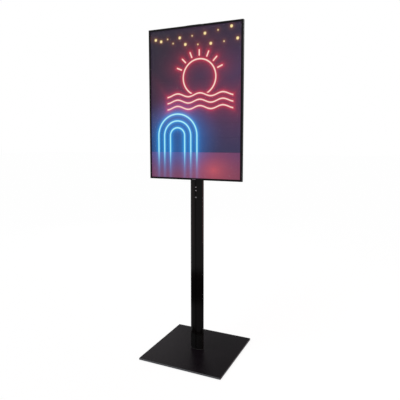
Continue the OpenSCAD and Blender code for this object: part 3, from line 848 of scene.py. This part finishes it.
def clamp_copies(part):
    """Copies at the three clamp screws on the front and the two plug screws at the foot."""
    low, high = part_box("clamp_screws")
    seat = low.y + CLAMP_HEAD_HIGH * MM
    top = high.z - CLAMP_HEAD / 2 * MM
    pitch = CLAMP_PITCH * MM
    front = [copies(part, (0, seat, top), TO_FRONT, up=(0, 0, -pitch), rows=2, seed=3, finish=nickel),
             copies(part, (0, seat, top - CLAMP_LAST_STEP * pitch), TO_FRONT, seed=8, finish=nickel)]
    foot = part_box("plug_screws")[0].z + CLAMP_HEAD / 2 * MM
    rear = [copies(part, (0, -seat, foot), TO_BACK, up=(0, 0, PLUG_PITCH * MM), rows=2, seed=5)]
    return front, rear


def post_pieces():
    """Post, its clamp screws and its plug screws."""
    low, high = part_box("post")
    drill = seat_drill("seat_drill", SEAT_DRILL)
    front, rear = clamp_copies(drill)
    cutter = linked("seat_cutter", gathered(front + rear))
    mesh = post_tree().grow(
        drawn_black(), wide=high.x - low.x, deep=high.y - low.y, wall=POST_WALL * MM,
        rib_wide=RIB_WIDE * MM, rib_high=RIB_HIGH * MM, groove_wide=GROOVE_WIDE * MM,
        groove_deep=GROOVE_DEEP * MM, low=low.z, high=high.z, steps=OVAL_STEPS, cutter=cutter)
    piece("oval_post", smooth(mesh), "post_black", "post")
    short = dome_screw("short_screw", CLAMP_SHANK, CLAMP_HEAD, CLAMP_HEAD_HIGH, CLAMP_REACH)
    long = dome_screw("long_screw", CLAMP_SHANK, CLAMP_HEAD, CLAMP_HEAD_HIGH, PLUG_REACH)
    piece("clamp_screw_set", smooth(gathered(clamp_copies(short)[0])), "screw_steel", "clamp_screws")
    piece("plug_screw_set", smooth(gathered(clamp_copies(long)[1])), "screw_steel", "plug_screws")
    for spare in (drill, cutter, short, long):
        bpy.data.objects.remove(spare)


def bracket_fasteners():
    """Screws into the light box, and bolts with their nuts through the neck, at both brackets."""
    screw = dome_screw("bracket_screw", BRACKET_SHANK, BRACKET_HEAD, BRACKET_HEAD_HIGH, BRACKET_REACH)
    bolt = hex_bolt("bracket_bolt")
    nut = hex_nut("bracket_nut")
    screws, bolts, nuts = [], [], []
    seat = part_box("bracket_screws")[1].y - BRACKET_HEAD_HIGH * MM
    edge = BRACKET_EDGE * MM
    for seed, bracket in enumerate(("lower_bracket", "upper_bracket")):
        low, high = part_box(bracket)
        up = (0, 0, high.z - low.z - 2 * edge)
        screws.append(copies(screw, (low.x + edge, seat, low.z + edge), TO_BACK, seed=seed,
                             across=(high.x - low.x - 2 * edge, 0, 0), columns=2, up=up, rows=2))
        for part, made in ((bolt, bolts), (nut, nuts)):
            made.append(copies(part, (0, 0, low.z + edge), TO_RIGHT, up=up, rows=2, seed=seed + 4))
    piece("bracket_screw_set", smooth(gathered(screws)), "screw_steel", "bracket_screws")
    piece("bracket_bolt_set", smooth(gathered(bolts)), "screw_steel", "bracket_bolts")
    piece("bracket_nut_set", smooth(gathered(nuts)), "screw_steel", "bracket_nuts")
    for spare in (screw, bolt, nut):
        bpy.data.objects.remove(spare)


def panel_fasteners():
    """Small screws round the back panel."""
    screw = dome_screw("panel_screw", PANEL_SHANK, PANEL_HEAD, PANEL_HEAD_HIGH, PANEL_REACH)
    low = Vector(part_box("rail_bottom")[0])
    high = Vector((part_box("rail_right")[1].x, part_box("rail_bottom")[1].y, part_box("rail_top")[1].z))
    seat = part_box("panel_screws")[1].y - PANEL_HEAD_HIGH * MM
    inset, corner = PANEL_INSET * MM, PANEL_CORNER * MM
    wide, tall = high.x - low.x, high.z - low.z
    level = copies(screw, (low.x + corner, seat, low.z + inset), TO_BACK, seed=1,
                   across=((wide - 2 * corner) / (PANEL_LEVEL_SCREWS - 1), 0, 0),
                   columns=PANEL_LEVEL_SCREWS,
                   up=(0, 0, tall - 2 * inset), rows=2)
    upright = copies(screw, (low.x + inset, seat, low.z + corner), TO_BACK, seed=2,
                     across=(wide - 2 * inset, 0, 0), columns=2,
                     up=(0, 0, (tall - 2 * corner) / (PANEL_UPRIGHT_SCREWS - 1)),
                     rows=PANEL_UPRIGHT_SCREWS)
    piece("panel_screw_set", smooth(gathered([level, upright])), "screw_steel", "panel_screws")
    bpy.data.objects.remove(screw)


def stand_pieces():
    rubber = moulded("soft_rubber", srgb(22, 22, 23), srgb(32, 32, 33), 0.75)
    plastic = moulded("black_plastic", srgb(20, 20, 21), srgb(28, 28, 29), 0.45)
    paint = painted_steel()
    dressed("steel_base", powder_coat(), "base_coat", PLATE_EDGE, "base_plate")
    dressed("rubber_feet", rubber, "rubber_black", SHEET_EDGE, "base_pads")
    dressed("post_gasket", rubber, "rubber_black", SHEET_EDGE, "foot_gasket")
    dressed("collar", plastic, "plastic_black", MOULDED_EDGE, "post_collar")
    dressed("neck", paint, "steel_black", SHEET_EDGE, "neck_tube")
    dressed("neck_end_cap", plastic, "plastic_black", MOULDED_EDGE, "neck_cap")
    dressed("bracket_low", paint, "steel_black", SHEET_EDGE, "lower_bracket")
    dressed("bracket_high", paint, "steel_black", SHEET_EDGE, "upper_bracket")
    dressed("grip_strip", plastic, "plastic_black", BUTTON_EDGE, "poster_strip")
    dressed("inlet", plastic, "plastic_black", INLET_EDGE, "power_inlet")
    dressed("inlet_ring_nut", zinc, "screw_steel", BUTTON_EDGE, "inlet_nut")
    coated(rubber, "guide_blocks")
    coated(plastic, "push_switch")
    coated(zinc, "foot_bolts")
    post_pieces()
    bracket_fasteners()


def light_box_pieces():
    upright = brushed_black("upright_rail", (1, 1, 0.004))
    level = brushed_black("level_rail", (0.004, 1, 1))
    dressed("left_rail", upright, "frame_black", RAIL_EDGE, "rail_left")
    dressed("right_rail", upright, "frame_black", RAIL_EDGE, "rail_right")
    dressed("top_rail", level, "frame_black", RAIL_EDGE, "rail_top")
    dressed("bottom_rail", level, "frame_black", RAIL_EDGE, "rail_bottom")
    dressed("rear_cover", textured_sheet(), "panel_black", BUTTON_EDGE, "back_panel")
    button = moulded("button_plastic", srgb(66, 56, 64), srgb(80, 70, 78), 0.4)
    dressed("button", button, "button_grey", BUTTON_EDGE, "button_cap")
    coated(button, "switch_plunger")
    panel_fasteners()
    aluminium = bare_aluminium()
    coated(aluminium, "corner_keys", "backing_plates", "foot_plug")
    coated(clear_window(), "window")
    coated(poster_print(), "poster_sheet")
    coated(lit_opal(), "diffuser")
    coated(dotted_guide(), "light_guide")
    coated(moulded("white_film", srgb(240, 240, 240), srgb(250, 250, 250), 0.6), "reflector")
    coated(circuit_board("white_board", srgb(225, 225, 220), srgb(205, 200, 190)), "led_boards")
    coated(circuit_board("green_board", srgb(24, 84, 48), srgb(40, 110, 62)), "control_board")
    coated(phosphor(), "led_chips")
    coated(moulded("lead_sleeve", srgb(170, 28, 24), srgb(190, 36, 30), 0.5), "led_leads")


# Studio: metres and degrees, with the lens, the sensor and the floor's drop in millimetres

CAMERA_AT = (1.1355, -2.4214, 1.3629)
CAMERA_TURN = 24.743
CAMERA_DOWN = 6.025
CAMERA_LENS = 38.343
CAMERA_SHIFT = -0.035
SENSOR_WIDE = 36.0
STUDIO_HALF = 40.0
FLOOR_DROP = 0.2
CARD_NEAR = 0.85
CARD_FADE = 0.12
CARD_FAR = 1.75
CARD_DIM = 190
CARD_STEPS = 64
FLOOR_GLOW = 0.86
SKY_LEVEL = 0.62
ROSE_WHITE = (1.0, 0.93, 0.96)
WARM = (1.0, 0.50, 0.45)


def camera():
    data = bpy.data.cameras.new("camera")
    data.lens = CAMERA_LENS
    data.sensor_width = SENSOR_WIDE
    data.shift_y = CAMERA_SHIFT
    made = linked("camera", data)
    made.location = CAMERA_AT
    made.rotation_euler = (math.radians(90 - CAMERA_DOWN), 0, math.radians(CAMERA_TURN))
    bpy.context.scene.camera = made


def seen_directly(graph):
    """1 for what the camera sees straight, in a gloss or through glass, and 0 for falling light."""
    seen = [graph.node("ShaderNodeLightPath", output=f"Is {kind} Ray")
            for kind in ("Camera", "Glossy", "Transmission")]
    return seen[0].most(seen[1]).most(seen[2])


def floor():
    """White floor that keeps the object's shadow."""
    work = bmesh.new()
    half = STUDIO_HALF
    corners = [(-half, -half), (half, -half), (half, half), (-half, half)]
    work.faces.new([work.verts.new((x, y, -FLOOR_DROP * MM)) for x, y in corners])
    mesh = bpy.data.meshes.new("floor")
    work.to_mesh(mesh)
    work.free()
    made = linked("floor", mesh)
    white = Finish("floor_white", (0.92, 0.92, 0.92, 1), 0.8, Specular_IOR_Level=0.0)
    glow = white.node("ShaderNodeEmission", None, {"Color": (1, 1, 1, 1), "Strength": 1.0})
    shader = Value(white, white.shader.outputs[0])
    share = seen_directly(white) * FLOOR_GLOW
    blend = white.node("ShaderNodeMixShader", None, {0: share, 1: shader, 2: glow})
    white.tree.links.new(blend.socket, white.tree.nodes["Material Output"].inputs["Surface"])
    mesh.materials.append(white.material)


def dark_card():
    """Round card on the floor that only glosses see, dim round the base and black in a ring."""
    work = bmesh.new()
    bmesh.ops.create_circle(work, cap_ends=True, segments=CARD_STEPS, radius=CARD_FAR)
    mesh = bpy.data.meshes.new("dark_card")
    work.to_mesh(mesh)
    work.free()
    made = linked("dark_card", mesh)
    shade = Finish("card_shade", (0, 0, 0, 1), 1.0, Specular_IOR_Level=0.0, Emission_Strength=1.0)
    x, y, _ = shade.parts(shade.at)
    ring = shade.length(x, y).rise(CARD_NEAR - CARD_FADE, CARD_NEAR + CARD_FADE)
    shade.feed("Emission Color", shade.mix(ring, srgb(CARD_DIM, CARD_DIM, CARD_DIM), (0, 0, 0, 1)))
    mesh.materials.append(shade.material)
    made.visible_camera = False
    made.visible_diffuse = False
    made.visible_shadow = False
    made.visible_transmission = False


def sky():
    """White surroundings, at a plain level for the light that falls on the object."""
    world = bpy.data.worlds.new("studio")
    bpy.context.scene.world = world
    world.use_nodes = True
    graph = Graph(world.node_tree)
    back = graph.node("ShaderNodeBackground", None, {"Color": (1, 1, 1, 1), "Strength": 1.0})
    soft = graph.node("ShaderNodeBackground", None, {"Color": (1, 1, 1, 1), "Strength": SKY_LEVEL})
    blend = graph.node("ShaderNodeMixShader", None, {0: seen_directly(graph), 1: soft, 2: back})
    output = graph.tree.nodes.get("World Output") or graph.tree.nodes.new("ShaderNodeOutputWorld")
    graph.tree.links.new(blend.socket, output.inputs["Surface"])


def lamp(name, kind, at, aim, energy, colour=(1, 1, 1), **settings):
    data = bpy.data.lights.new(name, kind)
    data.energy = energy
    data.color = colour
    for label, value in settings.items():
        setattr(data, label, value)
    made = linked(name, data)
    made.location = at
    made.rotation_euler = (Vector(aim) - Vector(at)).to_track_quat("-Z", "Y").to_euler()
    made.visible_camera = False


def studio():
    """One broad key, soft lights behind, and low warm panels that the glossy post mirrors."""
    camera()
    floor()
    dark_card()
    sky()
    lamp("key", "SUN", at=(-2.0, -2.4, 3.6), aim=(0, 0, 0.9), energy=2.0, angle=math.radians(50))
    lamp("back_left", "AREA", at=(-2.4, 3.2, 1.9), aim=(-0.2, 0, 0), energy=10, colour=ROSE_WHITE,
         shape="DISK", size=1.2)
    lamp("back_right", "AREA", at=(1.2, 2.5, 2.7), aim=(0.3, 0, 1.9), energy=5, shape="DISK", size=0.8)
    lamp("warm_right", "AREA", at=(2.49, 0.22, 0.50), aim=(0, 0, 0.50), energy=30, colour=WARM,
         shape="RECTANGLE", size=2.4, size_y=0.8)
    lamp("warm_left", "AREA", at=(-1.97, -1.54, 0.45), aim=(0, 0, 0.45), energy=1, colour=WARM,
         shape="RECTANGLE", size=0.25, size_y=0.8)
    bpy.context.scene.view_settings.view_transform = "Standard"


studio()
stand_pieces()
light_box_pieces()
